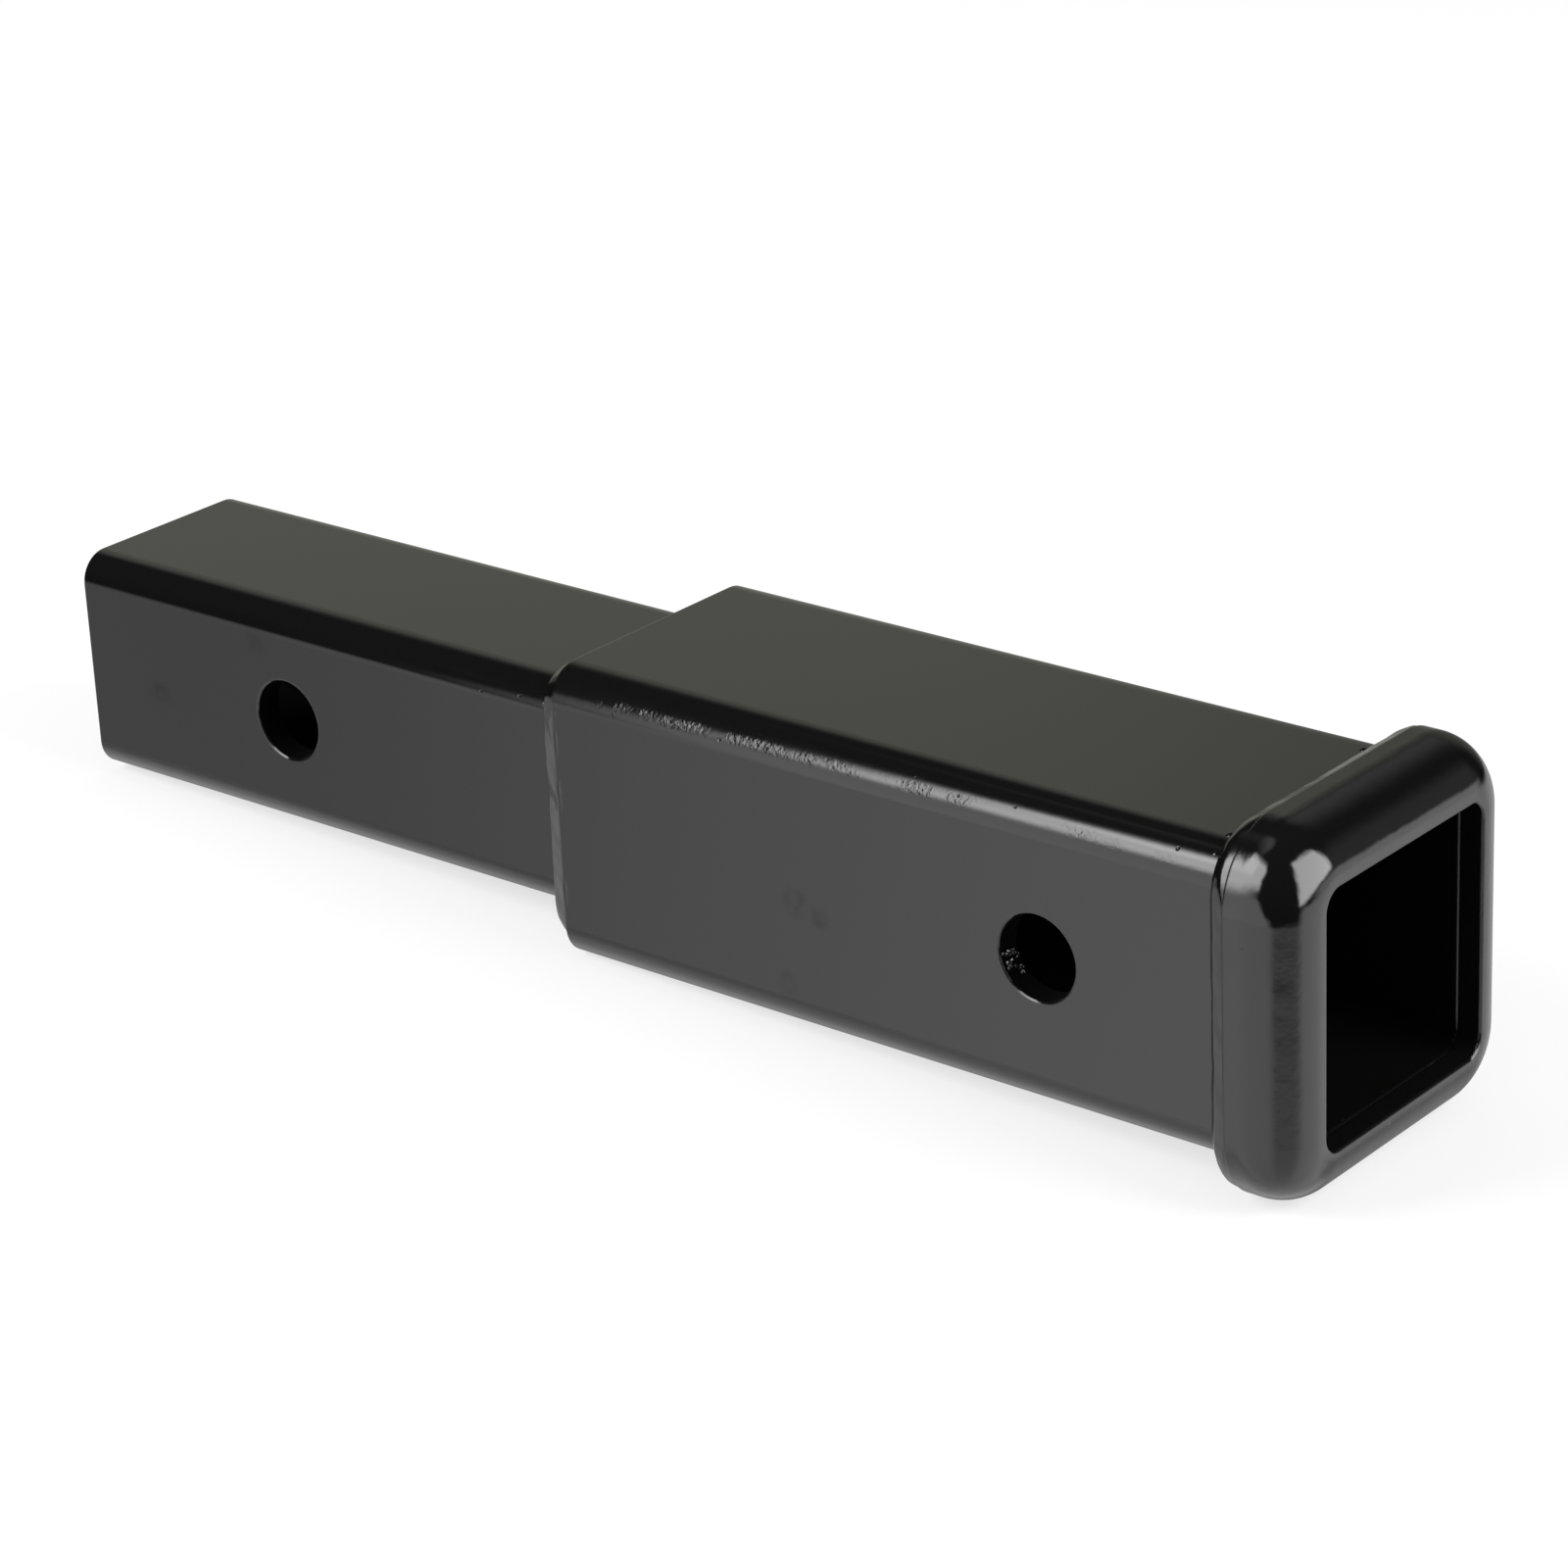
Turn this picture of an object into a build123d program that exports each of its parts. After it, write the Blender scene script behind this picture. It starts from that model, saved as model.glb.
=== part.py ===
from build123d import *
import os

# Hitch receiver extender: a square shank that slides into a vehicle's receiver,
# welded into a larger square receiver tube that carries the accessory further back.
# Millimetres. +X runs from the shank's open end to the receiver's mouth, +Y along the
# hitch pins, +Z up. The origin is the centre of the shank's pin hole, on the tubes' axis.

# Shank tube, the male end
SHANK_SIDE = 50.0            # nominal 2 inch square tube
SHANK_WALL = 6.0
SHANK_CORNER = 6.5           # outside corner radius of the rolled tube
SHANK_BORE_CORNER = 3.0
SHANK_END_TO_PIN = 61.0
SHANK_INSERT = 50.0          # length held inside the receiver tube

# Receiver tube, the female end
SLIDE_CLEARANCE = 1.25       # each side, between a shank and the receiver's bore
RECEIVER_WALL = 5.5
RECEIVER_CORNER = 7.5
RECEIVER_BORE_CORNER = 3.0
PIN_TO_PIN = 203.2           # 8 inches between the two pin holes
PIN_TO_STEP = 119.7          # receiver pin hole to the receiver tube's rear end
PIN_TO_MOUTH = 61.0          # receiver pin hole to the mouth's front

# Pin holes for a 5/8 inch hitch pin
PIN_HOLE = 17.5
HOLE_BREAK = 0.4             # broken outer edge of each hole
END_BREAK = 0.6              # broken outer edge of the shank's open end
TUBE_CHAMFER = 0.5           # inside edge of the receiver tube, a fine groove at the lip

# Mouth collar, a formed ring round the receiver's front
COLLAR_WALL = 6.35           # thickness over the tube's outside
COLLAR_BAND = 4.6            # straight band behind the rounded nose
COLLAR_LIP = 5.0             # thickness of the lip in front of the tube's end
COLLAR_REAR_BREAK = 1.3      # bevel round the rear edge, beside the weld
COLLAR_SLIP = 0.2            # each side, between the collar's socket and the tube
MOUTH_CORNER = 4.0
MOUTH_LAND = 0.5             # flat between the nose and the mouth
MOUTH_BREAK = 0.4            # broken edge of the mouth

# Fillet welds, laid in long shallow ripples
SHANK_WELD_LEG = 6.0         # along the shank
SHANK_WELD_MARGIN = 0.35     # receiver's end face left bare outside the weld
COLLAR_WELD_LEG = 5.0        # along the receiver tube
COLLAR_WELD_MARGIN = 0.3     # collar's rear face left bare outside the weld
WELD_CROWN = 0.16            # swell of a weld's face, as a share of its chord
RIPPLE_PITCH = 14.0
RIPPLE_DEPTH = 0.06          # how far a ripple falls to its trough, as a share of its size
WELD_ROOT = 0.6              # how deep a weld is built before its seats are cut

# Derived sizes
BORE_SIDE = SHANK_SIDE + 2 * SLIDE_CLEARANCE
RECEIVER_SIDE = BORE_SIDE + 2 * RECEIVER_WALL
COLLAR_SIDE = RECEIVER_SIDE + 2 * COLLAR_WALL
SOCKET_SIDE = RECEIVER_SIDE + 2 * COLLAR_SLIP
LIP_DEPTH = RECEIVER_WALL + COLLAR_WALL
NOSE_RADIUS = LIP_DEPTH - MOUTH_LAND
COLLAR_LENGTH = COLLAR_BAND + NOSE_RADIUS
PIN_RADIUS = PIN_HOLE / 2

SHANK_END_X = -SHANK_END_TO_PIN
STEP_X = PIN_TO_PIN - PIN_TO_STEP
SHANK_INNER_X = STEP_X + SHANK_INSERT
MOUTH_X = PIN_TO_PIN + PIN_TO_MOUTH
TUBE_FRONT_X = MOUTH_X - COLLAR_LIP
COLLAR_REAR_X = MOUTH_X - COLLAR_LENGTH


def square_bar(side, corner, start, end):
    """A square bar with round corners along X, from start to end."""
    section = Plane.YZ.offset(start) * RectangleRounded(side, side, corner)
    return extrude(section, end - start)


def square_tube(side, wall, corner, bore_corner, start, end):
    """A square tube with round corners along X, open at both ends."""
    bore = side - 2 * wall
    return square_bar(side, corner, start, end) - square_bar(bore, bore_corner, start, end)


def drill_pin_hole(tube, side, x):
    """Cut a pin hole through both side walls and break its two outer edges."""
    drill = Pos(x, 0, 0) * Rot(90, 0, 0) * Cylinder(PIN_RADIUS, 2 * side)
    drilled = tube - drill
    rims = [
        edge
        for edge in drilled.edges().filter_by(GeomType.CIRCLE)
        if abs(abs(edge.arc_center.Y) - side / 2) < 0.01 and abs(edge.arc_center.X - x) < 0.01
    ]
    return chamfer(rims, HOLE_BREAK)


def shank_tube():
    """The male tube: open end, pin hole, and the length welded into the receiver."""
    tube = square_tube(
        SHANK_SIDE, SHANK_WALL, SHANK_CORNER, SHANK_BORE_CORNER, SHANK_END_X, SHANK_INNER_X
    )
    end_face = tube.faces().sort_by(Axis.X)[0]
    tube = chamfer(end_face.outer_wire().edges(), END_BREAK)
    return drill_pin_hole(tube, SHANK_SIDE, 0)


def receiver_tube():
    """The female tube, with a pin hole and a chamfer inside its front end."""
    tube = square_tube(
        RECEIVER_SIDE, RECEIVER_WALL, RECEIVER_CORNER, RECEIVER_BORE_CORNER, STEP_X, TUBE_FRONT_X
    )
    front_face = tube.faces().sort_by(Axis.X)[-1]
    tube = chamfer(front_face.inner_wires()[0].edges(), TUBE_CHAMFER)
    return drill_pin_hole(tube, RECEIVER_SIDE, PIN_TO_PIN)


def mouth_collar():
    """The ring that rounds off and stiffens the mouth. Its nose curves from the outside
    almost to the mouth, and behind its lip it is bored out to sit over the tube's end."""
    block = square_bar(COLLAR_SIDE, MOUTH_CORNER + LIP_DEPTH, COLLAR_REAR_X, MOUTH_X)
    block = fillet(block.faces().sort_by(Axis.X)[-1].edges(), NOSE_RADIUS)
    block = chamfer(block.faces().sort_by(Axis.X)[0].edges(), COLLAR_REAR_BREAK)
    ring = block - square_bar(BORE_SIDE, MOUTH_CORNER, COLLAR_REAR_X - 1, MOUTH_X + 1)
    land = ring.faces().sort_by(Axis.X)[-1]
    ring = chamfer(land.inner_wires()[0].edges(), MOUTH_BREAK)
    socket = square_bar(
        SOCKET_SIDE, RECEIVER_CORNER + COLLAR_SLIP, COLLAR_REAR_X - 1, TUBE_FRONT_X
    )
    return ring - socket


def weld_section(plane, leg, rise):
    """One cross-section of a fillet weld, square to its run: leg lies back along the
    tube, rise stands up the welded face, and the weld's own face swells outwards."""
    top = Vector(rise, 0)
    toe = Vector(0, leg)
    chord = toe - top
    crown = (top + toe) / 2 + Vector(leg, rise).normalized() * chord.length * WELD_CROWN
    root = [(-WELD_ROOT, toe.Y), (-WELD_ROOT, -WELD_ROOT), (top.X, -WELD_ROOT)]
    return plane * make_face(Polyline(top, crown, toe, *root, close=True))


def fillet_weld(side, corner, face_x, leg, rise):
    """A fillet weld all round a square tube, behind the face at face_x: a rippled run
    along each side and an even turn round each corner."""
    half = side / 2
    flat = half - corner
    start = Plane(origin=(face_x, half, -flat), x_dir=(0, 1, 0), z_dir=(0, 0, 1))
    count = max(2, round(2 * flat / RIPPLE_PITCH))
    step = flat / count
    trough = 1.0 - RIPPLE_DEPTH
    sections = []
    for place in range(2 * count + 1):
        size = trough if place % 2 else 1.0
        sections.append(weld_section(start.offset(place * step), leg * size, rise * size))
    run = loft(sections, ruled=True)
    turn = revolve(sections[-1], Axis((face_x, flat, flat), (1, 0, 0)), 90)
    quarter = run + turn
    ring = quarter + [Rot(angle, 0, 0) * quarter for angle in (90, 180, 270)]
    reach = 2 * leg
    tube_seat = square_bar(side, corner, face_x - reach, face_x + reach)
    face_seat = square_bar(2 * side, corner, face_x, face_x + reach)
    return ring - tube_seat - face_seat


def shank_weld():
    """Joins the shank to the receiver tube's rear end face."""
    rise = SLIDE_CLEARANCE + RECEIVER_WALL - SHANK_WELD_MARGIN
    return fillet_weld(SHANK_SIDE, SHANK_CORNER, STEP_X, SHANK_WELD_LEG, rise)


def collar_weld():
    """Joins the mouth collar's rear face to the receiver tube."""
    rise = COLLAR_WALL - COLLAR_REAR_BREAK - COLLAR_WELD_MARGIN
    return fillet_weld(RECEIVER_SIDE, RECEIVER_CORNER, COLLAR_REAR_X, COLLAR_WELD_LEG, rise)


PARTS = {
    "shank_tube": shank_tube,
    "receiver_tube": receiver_tube,
    "mouth_collar": mouth_collar,
    "shank_weld": shank_weld,
    "collar_weld": collar_weld,
}

os.makedirs("parts", exist_ok=True)
for name, make in PARTS.items():
    export_step(make(), f"parts/{name}.step")
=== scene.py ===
import math
import random

import bpy
from mathutils import Matrix, Vector


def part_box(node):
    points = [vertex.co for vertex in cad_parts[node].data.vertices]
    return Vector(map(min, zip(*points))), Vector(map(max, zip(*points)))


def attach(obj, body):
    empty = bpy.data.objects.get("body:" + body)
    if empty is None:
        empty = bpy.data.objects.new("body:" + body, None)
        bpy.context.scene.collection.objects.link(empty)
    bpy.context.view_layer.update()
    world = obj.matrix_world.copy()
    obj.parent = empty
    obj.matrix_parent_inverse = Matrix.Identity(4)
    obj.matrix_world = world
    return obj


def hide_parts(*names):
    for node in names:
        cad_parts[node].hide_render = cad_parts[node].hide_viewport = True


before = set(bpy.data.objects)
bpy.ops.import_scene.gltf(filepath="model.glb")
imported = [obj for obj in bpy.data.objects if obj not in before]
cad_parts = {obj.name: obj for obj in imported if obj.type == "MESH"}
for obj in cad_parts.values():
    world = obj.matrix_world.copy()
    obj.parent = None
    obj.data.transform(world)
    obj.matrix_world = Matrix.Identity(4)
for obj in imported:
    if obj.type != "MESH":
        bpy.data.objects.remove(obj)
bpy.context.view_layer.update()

# The look of a hitch receiver extender, in metres and in the frame of its CAD model: camera,
# studio and floor, then the finishes, the weld beads and the smallest pieces
MM = 0.001


def linear(hex_colour):
    """A linear RGBA colour from an sRGB hex value."""
    levels = [int(hex_colour[place:place + 2], 16) / 255 for place in (1, 3, 5)]
    return [c / 12.92 if c <= 0.04045 else ((c + 0.055) / 1.055) ** 2.4 for c in levels] + [1.0]


def add(tree, kind, inputs, **settings):
    """Adds a node, sets its settings, and links or fills its inputs. A node given as an input
    stands for its first output."""
    node = tree.nodes.new(kind)
    for setting, value in settings.items():
        setattr(node, setting, value)
    for socket, value in inputs.items():
        if isinstance(value, bpy.types.Node):
            value = value.outputs[0]
        if isinstance(value, bpy.types.NodeSocket):
            tree.links.new(value, node.inputs[socket])
        else:
            node.inputs[socket].default_value = value
    return node


def new_material(name):
    """An empty node material and its tree."""
    material = bpy.data.materials.new(name)
    material.use_nodes = True
    material.node_tree.nodes.clear()
    return material, material.node_tree


# The camera's angles are in degrees and its lens in millimetres. It looks past the aim, by so
# much to the right and down, and sees things up to its reach.
CAMERA_AZIMUTH = 40.377
CAMERA_ELEVATION = 22.881
CAMERA_ROLL = 2.672
CAMERA_AIM = Vector((20.0, 0.0, 0.0)) * MM
CAMERA_DISTANCE = 1027.27 * MM
CAMERA_RIGHT = 74.352 * MM
CAMERA_DOWN = 17.376 * MM
CAMERA_LENS = 110.204
CAMERA_REACH = 20.0


def place_camera():
    """The camera at the photograph's viewing angle."""
    azimuth = math.radians(CAMERA_AZIMUTH)
    elevation = math.radians(CAMERA_ELEVATION)
    level = math.cos(elevation)
    back = Vector((math.sin(azimuth) * level, -math.cos(azimuth) * level, math.sin(elevation)))
    level_right = (-back).cross(Vector((0, 0, 1))).normalized()
    level_down = (-back).cross(level_right)
    turn = Matrix.Rotation(math.radians(CAMERA_ROLL), 3, -back)
    right = turn @ level_right
    down = turn @ level_down

    data = bpy.data.cameras.new("camera")
    data.lens = CAMERA_LENS
    data.clip_end = CAMERA_REACH
    camera = bpy.data.objects.new("camera", data)
    axes = Matrix((right, -down, back)).transposed().to_4x4()
    spot = CAMERA_AIM + back * CAMERA_DISTANCE + right * CAMERA_RIGHT + down * CAMERA_DOWN
    camera.matrix_world = Matrix.Translation(spot) @ axes
    bpy.context.scene.collection.objects.link(camera)
    bpy.context.scene.camera = camera


# The studio that only the gloss mirrors, placed by where each highlight and dark band of the
# photograph points. A panel is its radiance, its corners from the lower left round to the upper
# left, each as degrees to the camera's right and degrees of height, and the softness of its
# lower, right, upper and left edges as the sine of an angle. Where panels overlap they add up.
STUDIO_PANELS = (
    # The tall left panel, and its brighter upper left part
    (7.9, ((-78.2, 13), (-36, 24), (-33, 54), (-92.2, 53)), (0.17, 0.05, 0.09, 0.035)),
    (2.0, ((-84.5, 33), (-60, 37), (-60, 56), (-98.5, 55)), (0.08, 0.05, 0.05, 0.035)),
    # The tall right panel
    (7.8, ((40, -5), (92, 2), (84, 42), (31, 51)), (0.06, 0.05, 0.08, 0.06)),
    # A dimmer one below the left panel, and a faint one high up to the left
    (1.9, ((-80.2, -20), (-12, -20), (-38, 14), (-79.7, 20)), (0.05, 0.06, 0.12, 0.035)),
    (0.8, ((-140, 62), (-70, 62), (-70, 80), (-140, 80)), (0.18, 0.08, 0.08, 0.08)),
)

# The rest of the studio is regions, each a level and its soft edges. An edge is a measure, the
# middle of its slope and half the slope's width in degrees, negative where the region lies
# below it. studio_measures says what the measures are.

# The white floor's radiance, the height of its far edge, and its brighter parts, which lie
# below the two tall panels
PAPER_RADIANCE = 1.08
PAPER_EDGE = (-9.5, -3.5)
PAPER_GLOWS = (
    (0.62, (("side", -80.0, 6.0), ("side", -9.0, -12.0), ("height", -56.0, 34.0))),
    (0.8, (("side", 42.0, 14.0), ("side", 106.0, -10.0), ("height", -56.0, 34.0))),
)
# The share of the floor's light that is lost in the dark gap at the camera, far behind the
# part, and where the part shades the floor on the right and on the left
PAPER_SHADES = (
    (1.0, (("leaning", -28.0, 6.0), ("side", 44.0, -7.0), ("height", -24.0, 5.0))),
    (0.6, (("turned_away", 148.0, 26.0), ("height", -52.0, 12.0))),
    (0.4, (("side", 100.0, 10.0), ("height", -32.0, -4.0), ("height", -50.0, 6.0))),
    (0.28, (("side", -85.5, -3.5), ("height", -36.0, 6.0))),
)
# Other pale things: a bright strip of floor on the right, the light spilt beside the right
# panel, and a faint patch high up behind
PALE_PATCHES = (
    (1.5, (
        ("side", 70.0, 12.0), ("side", 112.0, -8.0), ("height", -2.5, -3.0), ("height", -24.0, 8.0),
    )),
    (0.22, (("side", 88.0, 4.0), ("side", 112.0, -10.0), ("height", 24.0, -10.0))),
    (0.28, (
        ("round_back", 140.0, 20.0), ("round_back", 170.0, -8.0),
        ("height", 52.0, -8.0), ("height", 30.0, 6.0),
    )),
)
# The dim wall behind, and its left part, which is brighter and fades towards its top
WALLS = (
    (0.18, (("round_back", 140.0, 12.0), ("round_back", 209.0, -7.0), ("height", 42.0, -6.0))),
    (0.43, (("round_back", 168.0, 11.0), ("round_back", 209.0, -7.0), ("over_wall", 19.5, -8.0))),
)
WALL_TINT = "#fffff1"
# Degrees that the dark gap's edge moves left for each degree up, and that the wall's top rises
# for each degree round
GAP_LEAN = 0.83
WALL_RISE = 0.1
# Plain light on what isn't gloss
PLAIN_LIGHT = 0.45


def soft_region(tree, level, edges):
    """A level that falls to nothing past soft edges. Each edge is a measure, the middle of
    its slope and half the slope's width, negative where the region lies below it."""
    for measure, middle, half in edges:
        edge = add(tree, "ShaderNodeMapRange", {
            "Value": measure, "From Min": middle - half, "From Max": middle + half,
        }, interpolation_type="SMOOTHSTEP")
        level = add(tree, "ShaderNodeMath", {0: level, 1: edge}, operation="MULTIPLY")
    return level


def aim_at(right, up):
    """A direction at so many degrees to the camera's right and so many degrees up."""
    level = math.cos(math.radians(up))
    turn = math.radians(right)
    return Vector((math.sin(turn) * level, -math.cos(turn) * level, math.sin(math.radians(up))))


def studio_panel(tree, direction, radiance, corners, softness):
    """A four-sided panel, each edge a plane through the part."""
    aims = [aim_at(*corner) for corner in corners]
    edges = []
    for place, soft in enumerate(softness):
        normal = aims[place].cross(aims[(place + 1) % 4]).normalized()
        inside = add(tree, "ShaderNodeVectorMath", {
            0: direction, 1: normal,
        }, operation="DOT_PRODUCT").outputs["Value"]
        edges.append((inside, 0.0, soft))
    return soft_region(tree, radiance, edges)


def studio_measures(tree, direction):
    """The measures of the studio's edges, in degrees as seen from the part. side is 0 towards
    the camera and grows to the camera's right; round_back is side from 0 to 360, with no break
    behind the part; turned_away is side without its sign; height is upwards; leaning is side
    moved along with height; and over_wall is height lowered by the wall's rise."""
    axes = add(tree, "ShaderNodeSeparateXYZ", {0: direction})
    forward = add(tree, "ShaderNodeMath", {0: axes.outputs["Y"], 1: -1.0}, operation="MULTIPLY")
    turn = add(tree, "ShaderNodeMath", {0: axes.outputs["X"], 1: forward}, operation="ARCTAN2")
    rise = add(tree, "ShaderNodeMath", {0: axes.outputs["Z"]}, operation="ARCSINE")
    side = add(tree, "ShaderNodeMath", {0: turn}, operation="DEGREES")
    height = add(tree, "ShaderNodeMath", {0: rise}, operation="DEGREES")
    round_back = add(tree, "ShaderNodeMath", {0: side, 1: 360.0, 2: 0.0}, operation="WRAP")
    turned_away = add(tree, "ShaderNodeMath", {0: side}, operation="ABSOLUTE")
    leaning = add(tree, "ShaderNodeMath", {
        0: height, 1: GAP_LEAN, 2: side,
    }, operation="MULTIPLY_ADD")
    over_wall = add(tree, "ShaderNodeMath", {
        0: round_back, 1: -WALL_RISE, 2: height,
    }, operation="MULTIPLY_ADD")
    return {
        "side": side, "height": height, "round_back": round_back, "turned_away": turned_away,
        "leaning": leaning, "over_wall": over_wall,
    }


def studio_regions(tree, measures, regions):
    """The levels of some regions of the studio."""
    return [
        soft_region(tree, level, [(measures[name], middle, half) for name, middle, half in edges])
        for level, edges in regions
    ]


def light_world():
    """White where the camera looks past the floor, plain grey light on the part, and for its
    gloss a studio with soft panels, a white floor and a dim wall behind."""
    world = bpy.data.worlds.new("studio")
    world.use_nodes = True
    # Only the gloss sees the panels, so the world isn't sampled as a lamp
    world.cycles.sampling_method = "NONE"
    bpy.context.scene.world = world
    tree = world.node_tree
    tree.nodes.clear()

    direction = add(tree, "ShaderNodeTexCoord", {}).outputs["Generated"]
    turned = add(tree, "ShaderNodeVectorRotate", {
        "Vector": direction, "Axis": (0, 0, 1), "Angle": -math.radians(CAMERA_AZIMUTH),
    }, rotation_type="AXIS_ANGLE")
    measures = studio_measures(tree, turned)

    paper = PAPER_RADIANCE
    for glow in studio_regions(tree, measures, PAPER_GLOWS):
        paper = add(tree, "ShaderNodeMath", {0: paper, 1: glow}, operation="ADD")
    for shade in studio_regions(tree, measures, PAPER_SHADES):
        kept = add(tree, "ShaderNodeMath", {0: 1.0, 1: shade}, operation="SUBTRACT")
        paper = add(tree, "ShaderNodeMath", {0: paper, 1: kept}, operation="MULTIPLY")
    panels = 0.0
    for values in STUDIO_PANELS:
        panel = studio_panel(tree, turned, *values)
        panels = add(tree, "ShaderNodeMath", {0: panels, 1: panel}, operation="ADD")

    # The brightest of the pale things is seen, and the wall where it is brighter than they are
    pale = soft_region(tree, paper, ((measures["height"], *PAPER_EDGE),))
    for level in [panels] + studio_regions(tree, measures, PALE_PATCHES):
        pale = add(tree, "ShaderNodeMath", {0: pale, 1: level}, operation="MAXIMUM")
    wall = 0.0
    for level in studio_regions(tree, measures, WALLS):
        wall = add(tree, "ShaderNodeMath", {0: wall, 1: level}, operation="MAXIMUM")
    beyond = add(tree, "ShaderNodeMath", {0: wall, 1: pale}, operation="SUBTRACT", use_clamp=True)

    white = linear("#ffffff")
    pale_light = add(tree, "ShaderNodeBackground", {"Color": white, "Strength": pale})
    wall_light = add(tree, "ShaderNodeBackground", {"Color": linear(WALL_TINT), "Strength": beyond})
    studio = add(tree, "ShaderNodeAddShader", {0: pale_light, 1: wall_light})
    plain = add(tree, "ShaderNodeBackground", {"Color": white, "Strength": PLAIN_LIGHT})
    backdrop = add(tree, "ShaderNodeBackground", {"Color": white, "Strength": 1.0})
    rays = add(tree, "ShaderNodeLightPath", {})
    lit = add(tree, "ShaderNodeMixShader", {
        0: rays.outputs["Is Glossy Ray"], 1: plain, 2: studio,
    })
    seen = add(tree, "ShaderNodeMixShader", {
        0: rays.outputs["Is Camera Ray"], 1: lit, 2: backdrop,
    })
    add(tree, "ShaderNodeOutputWorld", {"Surface": seen})


# The two soft lamps, which the gloss doesn't mirror: name, place in metres and power in watts
LAMPS = (
    ("left_lamp", (-0.75, -1.2, 1.1), 22),
    ("right_lamp", (1.5, 0.3, 1.0), 16),
)
LAMP_SIZE = 0.9
LAMP_AIM = Vector((0.1, 0, 0))


def area_lamp(name, spot, power):
    """A soft square lamp that looks at the middle of the part."""
    data = bpy.data.lights.new(name, "AREA")
    data.shape = "SQUARE"
    data.size = LAMP_SIZE
    data.energy = power
    lamp = bpy.data.objects.new(name, data)
    lamp.location = spot
    lamp.rotation_euler = (Vector(spot) - LAMP_AIM).to_track_quat("Z", "Y").to_euler()
    lamp.visible_glossy = False
    bpy.context.scene.collection.objects.link(lamp)


# The floor's width in metres, and the extra light on it that only the camera sees
FLOOR_SIZE = 8.0
FLOOR_GLOW = 0.7


def lay_floor():
    """A pale floor under the part. It slopes as the part lies, from the receiver's rear lower
    edge down to the collar."""
    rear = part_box("receiver_tube")[0]
    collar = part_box("mouth_collar")[0]
    slope = (rear.z - collar.z) / (collar.x - rear.x)
    middle = Vector((collar.x, 0, collar.z))
    bpy.ops.object.select_all(action="DESELECT")
    bpy.ops.mesh.primitive_plane_add(
        size=FLOOR_SIZE, location=middle, rotation=(0, math.atan(slope), 0),
    )
    floor = bpy.context.object
    floor.name = "floor"
    floor.visible_glossy = False

    # White seamless paper: matt, lit to near white, with the part's soft shadow left on it
    material, tree = new_material("white_seamless_paper")
    rays = add(tree, "ShaderNodeLightPath", {})
    paper = add(tree, "ShaderNodeBsdfDiffuse", {"Color": linear("#a0a0a0")})
    glow = add(tree, "ShaderNodeEmission", {"Color": linear("#ffffff"), "Strength": FLOOR_GLOW})
    both = add(tree, "ShaderNodeAddShader", {0: paper, 1: glow})
    shown = add(tree, "ShaderNodeMixShader", {0: rays.outputs["Is Camera Ray"], 1: paper, 2: both})
    add(tree, "ShaderNodeOutputMaterial", {"Surface": shown})
    floor.data.materials.append(material)


# The inside of each tube: half the width of its bore, the stretch of X over which it is dark,
# and the X of its pin hole
SHANK_INSIDE = (19.0 * MM, (-60.0 * MM, 140.0 * MM), 0.0)
RECEIVER_INSIDE = (26.25 * MM, (84.5 * MM, 258.0 * MM), 203.2 * MM)
PIN_RADIUS = 8.75 * MM
# How far past the bore the dark reaches, and half the width of its edge there and in a pin hole
BORE_REACH = 1.5 * MM
BORE_EDGE = 0.3 * MM
HOLE_EDGE = 0.04 * MM
# The enamel rounds the edges of the tubes and the collar this much
EDGE_ROUNDING = 0.6 * MM

# The rough strip on the receiver's upper near corner. First how far out and up the middle of
# the corner's bend is, then the strip's edges as soft_region takes them, in degrees up round
# the bend, along X, and as a level of the noise that parts its patches
BEND_MIDDLE = 24.25 * MM
STRIP_BOTTOM = (17.0, 4.0)
STRIP_TOP = (33.0, -6.0)
STRIP_REAR = (97.0 * MM, 6.0 * MM)
STRIP_FRONT = (240.0 * MM, -8.0 * MM)
STRIP_PATCHES = (0.5, 0.15)

# Round spots, each as X, Y, Z and radius in millimetres: the larger pits in the rough strip,
# pits in the collar, and dull smudges on the near sides of the tubes
CORNER_PITS = (
    (114.4, -31.0, 27.6, 0.5), (118.0, -31.1, 27.2, 0.4), (127.1, -31.3, 26.8, 0.5),
    (138.8, -31.1, 27.4, 0.5), (148.2, -30.6, 28.2, 0.4), (174.3, -29.9, 29.2, 0.3),
    (185.0, -30.6, 28.3, 0.4), (197.9, -30.1, 28.9, 0.4), (234.3, -29.8, 29.3, 0.5),
)
COLLAR_PITS = (
    (253.6, -38.1, 17.6, 0.4), (264.1, -5.3, -27.9, 0.4),
)
SMUDGES = (
    (145.0, -31.75, -3.3, 4.5), (150.6, -31.75, -5.4, 3.5), (142.1, -31.75, -21.3, 3.5),
    (-8.0, -25.0, 16.0, 4.0), (-39.3, -25.0, -2.8, 5.0),
)
# Half the width of a spot's soft edge, as a share of its radius
SPOT_EDGE = 0.4


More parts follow.
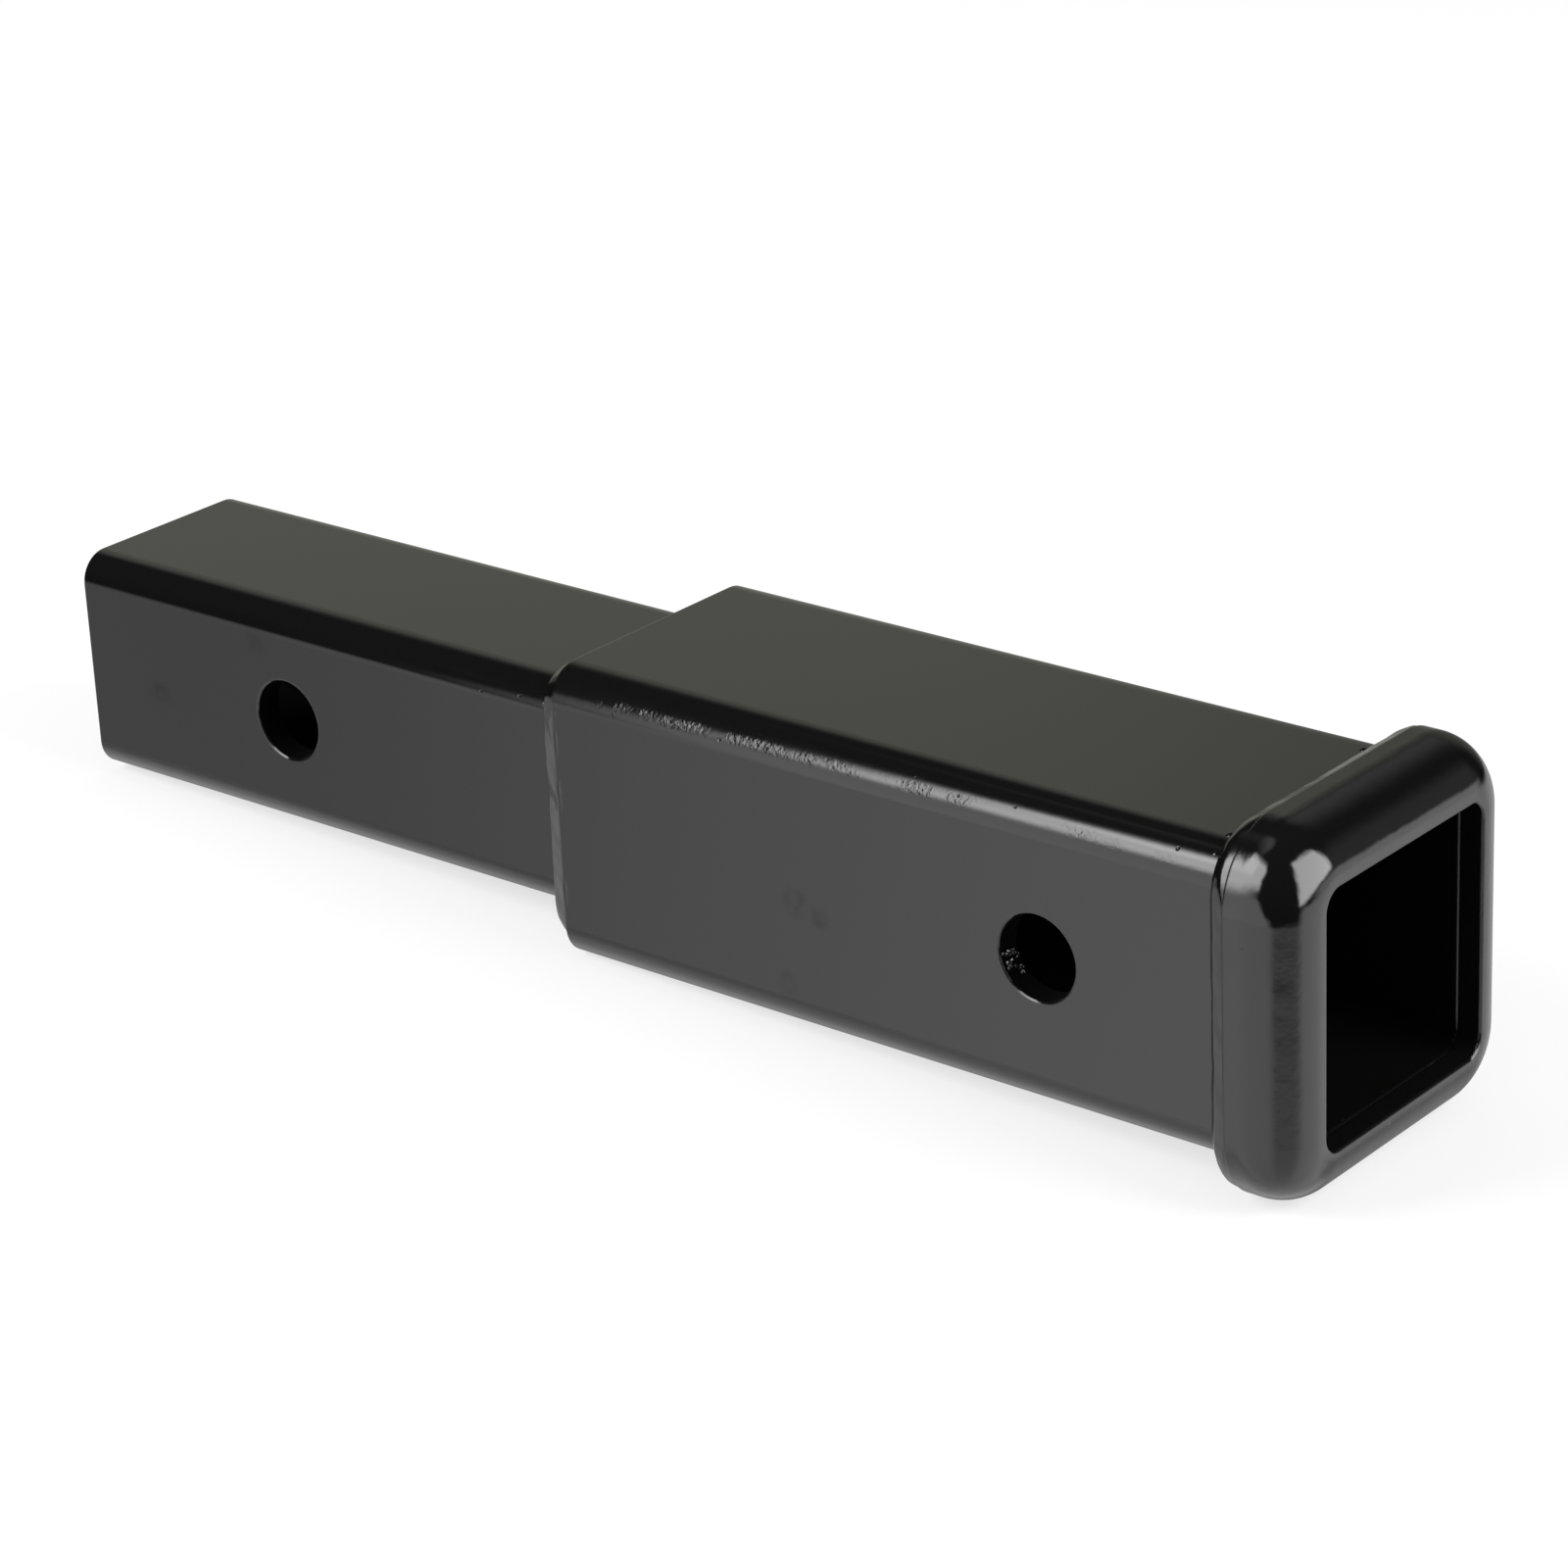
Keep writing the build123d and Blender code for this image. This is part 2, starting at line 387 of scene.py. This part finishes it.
def inside_of_tube(tree, place, bore, span, hole_x):
    """1 in a square tube's bore and on its pin hole's wall, and 0 on the rest of it."""
    axes = add(tree, "ShaderNodeSeparateXYZ", {0: place})
    along = axes.outputs["X"]
    across = add(tree, "ShaderNodeMath", {0: axes.outputs["Y"]}, operation="ABSOLUTE")
    up = add(tree, "ShaderNodeMath", {0: axes.outputs["Z"]}, operation="ABSOLUTE")
    reach = add(tree, "ShaderNodeMath", {0: across, 1: up}, operation="MAXIMUM")
    in_bore = soft_region(tree, 1.0, (
        (reach, bore + BORE_REACH, -BORE_EDGE), (along, span[0], BORE_EDGE),
        (along, span[1], -BORE_EDGE),
    ))
    from_pin = add(tree, "ShaderNodeMapping", {
        "Vector": place, "Location": (-hole_x, 0, 0), "Scale": (1, 0, 1),
    })
    away = add(tree, "ShaderNodeVectorMath", {0: from_pin}, operation="LENGTH").outputs["Value"]
    in_hole = soft_region(tree, 1.0, ((away, PIN_RADIUS + 2 * HOLE_EDGE, -HOLE_EDGE),))
    return add(tree, "ShaderNodeMath", {0: in_bore, 1: in_hole}, operation="MAXIMUM")


def in_spots(tree, place, spots):
    """1 in the middle of each spot, and 0 away from them all."""
    highest = 0.0
    for x, y, z, radius in spots:
        away = add(tree, "ShaderNodeVectorMath", {
            0: place, 1: Vector((x, y, z)) * MM,
        }, operation="DISTANCE").outputs["Value"]
        edge = (away, (1.0 - SPOT_EDGE) * radius * MM, -SPOT_EDGE * radius * MM)
        level = soft_region(tree, 1.0, (edge,))
        highest = add(tree, "ShaderNodeMath", {0: highest, 1: level}, operation="MAXIMUM")
    return highest


def rough_corner(tree, place, normal):
    """The normal roughened along the receiver's upper near corner, where the enamel covers the
    scale of the tube's bend."""
    axes = add(tree, "ShaderNodeSeparateXYZ", {0: place})
    along = axes.outputs["X"]
    out = add(tree, "ShaderNodeMath", {
        0: axes.outputs["Y"], 1: -1.0, 2: -BEND_MIDDLE,
    }, operation="MULTIPLY_ADD")
    up = add(tree, "ShaderNodeMath", {0: axes.outputs["Z"], 1: BEND_MIDDLE}, operation="SUBTRACT")
    bend = add(tree, "ShaderNodeMath", {0: up, 1: out}, operation="ARCTAN2")
    turned = add(tree, "ShaderNodeMath", {0: bend}, operation="DEGREES")

    # Grains 0.8 mm across, in patches of 6 mm. The grain's middle level is taken off, so that
    # the strip has no step at its edges.
    grain = add(tree, "ShaderNodeTexNoise", {"Vector": place, "Scale": 1200.0, "Detail": 3.0})
    level_grain = add(tree, "ShaderNodeMath", {0: grain, 1: 0.5}, operation="SUBTRACT")
    patches = add(tree, "ShaderNodeTexNoise", {"Vector": place, "Scale": 160.0, "Detail": 1.0})
    in_strip = soft_region(tree, level_grain, (
        (turned, *STRIP_BOTTOM), (turned, *STRIP_TOP), (along, *STRIP_REAR),
        (along, *STRIP_FRONT), (patches, *STRIP_PATCHES),
    ))
    # Rougher towards the rear
    share = add(tree, "ShaderNodeMapRange", {
        "Value": along, "From Min": 130.0 * MM, "From Max": 200.0 * MM,
        "To Min": 1.0, "To Max": 0.6,
    })
    rough = add(tree, "ShaderNodeMath", {0: in_strip, 1: share}, operation="MULTIPLY")
    grainy = add(tree, "ShaderNodeBump", {
        "Height": rough, "Strength": 1.0, "Distance": 0.09 * MM, "Normal": normal,
    })
    return add(tree, "ShaderNodeBump", {
        "Height": in_spots(tree, place, CORNER_PITS), "Strength": 1.0,
        "Distance": 0.16 * MM, "Normal": grainy,
    }, invert=True)


def tube_enamel(name, inside, has_rough_corner):
    """Gloss black enamel, sprayed thinly over rolled and welded steel tube: deep black with
    faint streaks along the rolling, a slight orange peel, and a matt dark inside."""
    material, tree = new_material(name)
    place = add(tree, "ShaderNodeTexCoord", {}).outputs["Object"]

    # Orange peel, 2 mm across
    rounded = add(tree, "ShaderNodeBevel", {"Radius": EDGE_ROUNDING}, samples=6)
    peel = add(tree, "ShaderNodeTexNoise", {"Vector": place, "Scale": 450.0, "Detail": 2.0})
    normal = add(tree, "ShaderNodeBump", {
        "Height": peel, "Strength": 0.5, "Distance": 0.006 * MM, "Normal": rounded,
    })
    if has_rough_corner:
        normal = rough_corner(tree, place, normal)

    # Rolling streaks, 40 mm long and 1.2 mm wide, that dull the gloss a little
    stretched = add(tree, "ShaderNodeMapping", {"Vector": place, "Scale": (25.0, 800.0, 800.0)})
    streaks = add(tree, "ShaderNodeTexNoise", {"Vector": stretched, "Scale": 1.0, "Detail": 3.0})
    gloss = add(tree, "ShaderNodeMapRange", {
        "Value": streaks, "From Min": 0.3, "From Max": 0.7, "To Min": 0.05, "To Max": 0.08,
    })
    # Smudges, made blotchy by a noise 3 mm across, that mirror less
    blotches = add(tree, "ShaderNodeTexNoise", {"Vector": place, "Scale": 320.0, "Detail": 3.0})
    smudged = soft_region(tree, in_spots(tree, place, SMUDGES), ((blotches, 0.5, 0.2),))
    shine = add(tree, "ShaderNodeMapRange", {"Value": smudged, "To Min": 0.5, "To Max": 0.36})
    enamel = add(tree, "ShaderNodeBsdfPrincipled", {
        "Base Color": linear("#131313"), "Roughness": gloss, "IOR": 1.5, "Normal": normal,
        "Specular IOR Level": shine,
    })

    # Inside the bore and on the pin holes' walls: matt and near black, with almost no reflection
    scale = add(tree, "ShaderNodeBsdfPrincipled", {
        "Base Color": linear("#0a0a0a"), "Roughness": 0.8, "IOR": 1.3,
        "Specular IOR Level": 0.04,
    })
    surface = add(tree, "ShaderNodeMixShader", {
        0: inside_of_tube(tree, place, *inside), 1: enamel, 2: scale,
    })
    add(tree, "ShaderNodeOutputMaterial", {"Surface": surface})
    return material


def collar_enamel():
    """Gloss black enamel on the formed collar, thicker than on the tubes: it has no streaks,
    and its highlights waver with the steel below."""
    material, tree = new_material("black_enamel_on_formed_collar")
    place = add(tree, "ShaderNodeTexCoord", {}).outputs["Object"]
    rounded = add(tree, "ShaderNodeBevel", {"Radius": EDGE_ROUNDING}, samples=6)
    # Slow waves left by forming, 14 mm across and finer, and two small pits
    waves = add(tree, "ShaderNodeTexNoise", {"Vector": place, "Scale": 70.0, "Detail": 4.5})
    wavy = add(tree, "ShaderNodeBump", {
        "Height": waves, "Strength": 0.8, "Distance": 0.25 * MM, "Normal": rounded,
    })
    pitted = add(tree, "ShaderNodeBump", {
        "Height": in_spots(tree, place, COLLAR_PITS), "Strength": 1.0,
        "Distance": 0.07 * MM, "Normal": wavy,
    }, invert=True)
    enamel = add(tree, "ShaderNodeBsdfPrincipled", {
        "Base Color": linear("#131313"), "Roughness": 0.075, "IOR": 1.5, "Normal": pitted,
    })
    add(tree, "ShaderNodeOutputMaterial", {"Surface": enamel})
    return material


def weld_enamel():
    """Gloss black enamel pooled over an arc weld: smooth, with a fine grain from the bead."""
    material, tree = new_material("black_enamel_on_weld_bead")
    place = add(tree, "ShaderNodeTexCoord", {}).outputs["Object"]
    grain = add(tree, "ShaderNodeTexNoise", {"Vector": place, "Scale": 900.0, "Detail": 2.0})
    grainy = add(tree, "ShaderNodeBump", {
        "Height": grain, "Strength": 0.5, "Distance": 0.02 * MM,
    })
    enamel = add(tree, "ShaderNodeBsdfPrincipled", {
        "Base Color": linear("#101010"), "Roughness": 0.12, "IOR": 1.5, "Normal": grainy,
    })
    add(tree, "ShaderNodeOutputMaterial", {"Surface": enamel})
    return material


def alone(thing):
    """Makes one object the only selected one, and the active one."""
    bpy.ops.object.select_all(action="DESELECT")
    thing.select_set(True)
    bpy.context.view_layer.objects.active = thing


def join_onto(piece, others):
    """Joins other objects onto a piece."""
    alone(piece)
    for other in others:
        other.select_set(True)
    bpy.ops.object.join()


def finish_with(piece, kind, **settings):
    """Adds a modifier with its settings and applies it."""
    alone(piece)
    modifier = piece.modifiers.new(kind.lower(), kind)
    for setting, value in settings.items():
        setattr(modifier, setting, value)
    bpy.ops.object.modifier_apply(modifier=modifier.name)


# Corners of a CAD node's loose triangles are joined within this distance
MERGE_DISTANCE = 0.002 * MM

# Grain of the remeshed weld beads, and the waves that the welder's hand left in them
BEAD_GRAIN = 0.35 * MM
BEAD_WAVE_LENGTH = 7.0 * MM
SHANK_WAVE_HEIGHT = 0.54 * MM
COLLAR_WAVE_HEIGHT = 0.27 * MM

# The outer skins of the two welds, from the tube to the edge that they lap over and back under
# the metal: each step is an X and the half width of the square ring there, in millimetres
SHANK_SKIN = (
    (77.0, 24.5), (77.2, 25.2), (77.8, 27.8), (78.9, 29.55), (83.6, 31.75), (84.6, 31.8),
    (85.4, 31.3), (83.0, 29.2),
)
COLLAR_SKIN = (
    (243.0, 31.4), (243.3, 32.4), (244.6, 34.6), (246.2, 36.35), (249.5, 37.9), (250.6, 38.1),
    (251.6, 38.1), (251.6, 36.0),
)
# The corner radius of each skin's first step, and the facets of a corner
SHANK_SKIN_CORNER = 6.5 * MM
COLLAR_SKIN_CORNER = 10.5 * MM
SKIN_FACETS = 8
# Above and below, the shank's weld stops this much short of where it does at the sides
SHANK_SKIN_DROP = 0.7 * MM
# The collar's outline, which its weld stays within, and the stretch of X that is trimmed to it
COLLAR_HALF = 38.03 * MM
COLLAR_CORNER = 16.6 * MM
COLLAR_FACETS = 24
TRIM_FRONT = 252.0 * MM
TRIM_LENGTH = 12.0 * MM
# Lumps where the welder stopped, as X, Y, Z and radius in millimetres
COLLAR_BEAD_LUMPS = (
    (241.8, -28.4, 29.2, 1.2), (241.8, -23.9, 31.0, 1.3), (240.0, 22.6, 31.1, 1.2),
)


def solid_copy(node_name, name):
    """A copy of a CAD node's mesh, with its loose triangles joined."""
    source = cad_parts[node_name]
    piece = bpy.data.objects.new(name, source.data.copy())
    bpy.context.scene.collection.objects.link(piece)
    alone(piece)
    bpy.ops.object.mode_set(mode="EDIT")
    bpy.ops.mesh.select_all(action="SELECT")
    bpy.ops.mesh.remove_doubles(threshold=MERGE_DISTANCE)
    bpy.ops.object.mode_set(mode="OBJECT")
    return piece


def rounded_square(half, corner, x, facets):
    """A flat square with rounded corners across the tubes' axis, left in edit mode."""
    bpy.ops.object.select_all(action="DESELECT")
    bpy.ops.mesh.primitive_plane_add(
        size=2 * half, location=(x, 0, 0), rotation=(0, math.pi / 2, 0),
    )
    bpy.ops.object.transform_apply(location=True, rotation=True, scale=True)
    bpy.ops.object.mode_set(mode="EDIT")
    bpy.ops.mesh.select_all(action="SELECT")
    bpy.ops.mesh.bevel(offset=corner, segments=facets, affect="VERTICES")
    bpy.ops.mesh.select_all(action="SELECT")
    return bpy.context.object


def extrude_along(distance):
    """Extrudes the selected part of the edited mesh along the tubes' axis."""
    bpy.ops.mesh.extrude_region_move(TRANSFORM_OT_translate={"value": (distance, 0, 0)})


def trim_to_collar(skin):
    """Cuts a ring of weld metal back to the collar's outline."""
    outline = rounded_square(COLLAR_HALF, COLLAR_CORNER, TRIM_FRONT, COLLAR_FACETS)
    extrude_along(-TRIM_LENGTH)
    bpy.ops.mesh.select_all(action="SELECT")
    bpy.ops.mesh.normals_make_consistent(inside=False)
    bpy.ops.object.mode_set(mode="OBJECT")
    finish_with(skin, "BOOLEAN", operation="INTERSECT", object=outline, solver="EXACT")
    bpy.data.objects.remove(outline)
    return skin


def weld_skin(steps, corner, drop):
    """A closed ring of weld metal round a square tube, swept through its steps, and drawn in
    above and below by the drop."""
    first_x, first_half = steps[0]
    rounded_square(first_half * MM, corner, first_x * MM, SKIN_FACETS)
    bpy.ops.mesh.delete(type="ONLY_FACE")
    bpy.ops.mesh.select_all(action="SELECT")
    for (x, half), (next_x, next_half) in zip(steps, steps[1:]):
        extrude_along((next_x - x) * MM)
        grown = next_half / half
        bpy.ops.transform.resize(value=(1.0, grown, grown), center_override=(0, 0, 0))
    bpy.ops.mesh.select_all(action="DESELECT")
    bpy.ops.mesh.select_non_manifold()
    bpy.ops.mesh.bridge_edge_loops()
    bpy.ops.mesh.select_all(action="SELECT")
    bpy.ops.mesh.normals_make_consistent(inside=False)
    full = max(half for _, half in steps) * MM
    lowered = (full - drop) / full
    bpy.ops.transform.resize(value=(1.0, 1.0, lowered), center_override=(0, 0, 0))
    bpy.ops.object.mode_set(mode="OBJECT")
    return bpy.context.object


def wavy_bead(piece, texture_name, wave_height):
    """Melts a bead's pieces into one smooth skin with long, soft waves."""
    finish_with(piece, "REMESH", mode="VOXEL", voxel_size=BEAD_GRAIN, use_smooth_shade=True)
    finish_with(piece, "SMOOTH", factor=0.5, iterations=5)
    waves = bpy.data.textures.new(texture_name, "CLOUDS")
    waves.noise_scale = BEAD_WAVE_LENGTH
    waves.noise_depth = 1
    finish_with(
        piece, "DISPLACE", texture=waves, texture_coords="LOCAL", strength=wave_height,
        mid_level=0.5,
    )


def lumps(spots):
    """Small balls of weld metal, each at its X, Y, Z and radius in millimetres."""
    balls = []
    for x, y, z, radius in spots:
        bpy.ops.object.select_all(action="DESELECT")
        spot = Vector((x, y, z)) * MM
        bpy.ops.mesh.primitive_ico_sphere_add(subdivisions=3, radius=radius * MM, location=spot)
        bpy.ops.object.transform_apply(location=True, rotation=True, scale=True)
        balls.append(bpy.context.object)
    return balls


def weld_beads(enamel):
    """The two welds, with their seams melted together and their faces left wavy."""
    shank_bead = solid_copy("shank_weld", "shank_weld_bead")
    join_onto(shank_bead, [weld_skin(SHANK_SKIN, SHANK_SKIN_CORNER, SHANK_SKIN_DROP)])
    wavy_bead(shank_bead, "shank_bead_waves", SHANK_WAVE_HEIGHT)

    collar_bead = solid_copy("collar_weld", "collar_weld_bead")
    skin = trim_to_collar(weld_skin(COLLAR_SKIN, COLLAR_SKIN_CORNER, 0.0))
    join_onto(collar_bead, [skin] + lumps(COLLAR_BEAD_LUMPS))
    wavy_bead(collar_bead, "collar_bead_waves", COLLAR_WAVE_HEIGHT)

    for bead, node_name in ((shank_bead, "shank_weld"), (collar_bead, "collar_weld")):
        bead.data.materials.clear()
        bead.data.materials.append(enamel)
        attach(bead, "root")
        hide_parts(node_name)


# Weld spatter on the tubes, as X, Y, Z and radius in millimetres
SPATTER = (
    (68.1, -24.6, 20.6, 0.5), (75.1, -24.7, 20.4, 0.7), (57.5, -24.9, 19.4, 0.45),
    (99.6, -31.6, 25.6, 0.4),
)
# Torn flakes left by the drill on the lower left of the receiver's near pin hole: their number,
# the seed of their draws, and the angles round the hole, the depths behind the near side and
# the sizes that they lie between, in degrees and millimetres
FLAKES = 20
FLAKE_SEED = 5
FLAKE_ANGLES = (190.0, 224.0)
FLAKE_DEPTHS = (0.6, 4.2)
FLAKE_SIZES = (0.5, 1.2)
# A flake's length, width and thickness as shares of its size, which way its flat face looks,
# and how far each flake strays from that
FLAKE_SHAPE = (1.0, 0.55, 0.14)
FLAKE_FACING = Vector((0.19, -0.8, 0.56))
FLAKE_TILT = 0.17


def small_pieces(name, finish, balls):
    """Joins small lumps into one painted piece in the given finish."""
    join_onto(balls[0], balls[1:])
    piece = balls[0]
    piece.name = name
    piece.data.materials.clear()
    piece.data.materials.append(finish)
    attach(piece, "root")


def drill_flakes():
    """Small tilted flakes on the wall of the receiver's pin hole."""
    draw = random.Random(FLAKE_SEED)
    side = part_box("receiver_tube")[0].y
    hole_x = RECEIVER_INSIDE[2]
    flakes = []
    for _ in range(FLAKES):
        angle = math.radians(draw.uniform(*FLAKE_ANGLES))
        depth = draw.uniform(*FLAKE_DEPTHS) * MM
        size = draw.uniform(*FLAKE_SIZES) * MM
        across = PIN_RADIUS * math.cos(angle)
        up = PIN_RADIUS * math.sin(angle)
        strays = [draw.uniform(-FLAKE_TILT, FLAKE_TILT) for _ in range(3)]
        facing = FLAKE_FACING + Vector(strays)
        bpy.ops.object.select_all(action="DESELECT")
        bpy.ops.mesh.primitive_ico_sphere_add(
            subdivisions=2, radius=size, location=(hole_x + across, side + depth, up),
            scale=FLAKE_SHAPE, rotation=facing.to_track_quat("Z", "Y").to_euler(),
        )
        bpy.ops.object.transform_apply(location=True, rotation=True, scale=True)
        flakes.append(bpy.context.object)
    return flakes


def paint_nodes(bead_finish):
    """Each CAD node in its own finish."""
    finishes = {
        "shank_tube": tube_enamel("black_enamel_on_rolled_shank", SHANK_INSIDE, False),
        "receiver_tube": tube_enamel("black_enamel_on_rolled_receiver", RECEIVER_INSIDE, True),
        "mouth_collar": collar_enamel(),
        "shank_weld": bead_finish,
        "collar_weld": bead_finish,
    }
    for name, finish in finishes.items():
        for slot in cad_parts[name].material_slots:
            slot.material = finish


place_camera()
light_world()
for lamp in LAMPS:
    area_lamp(*lamp)
lay_floor()
weld_finish = weld_enamel()
weld_beads(weld_finish)
paint_nodes(weld_finish)
small_pieces("weld_spatter", weld_finish, lumps(SPATTER))
small_pieces("drill_flakes", weld_finish, drill_flakes())

bpy.context.scene.view_settings.view_transform = "Standard"
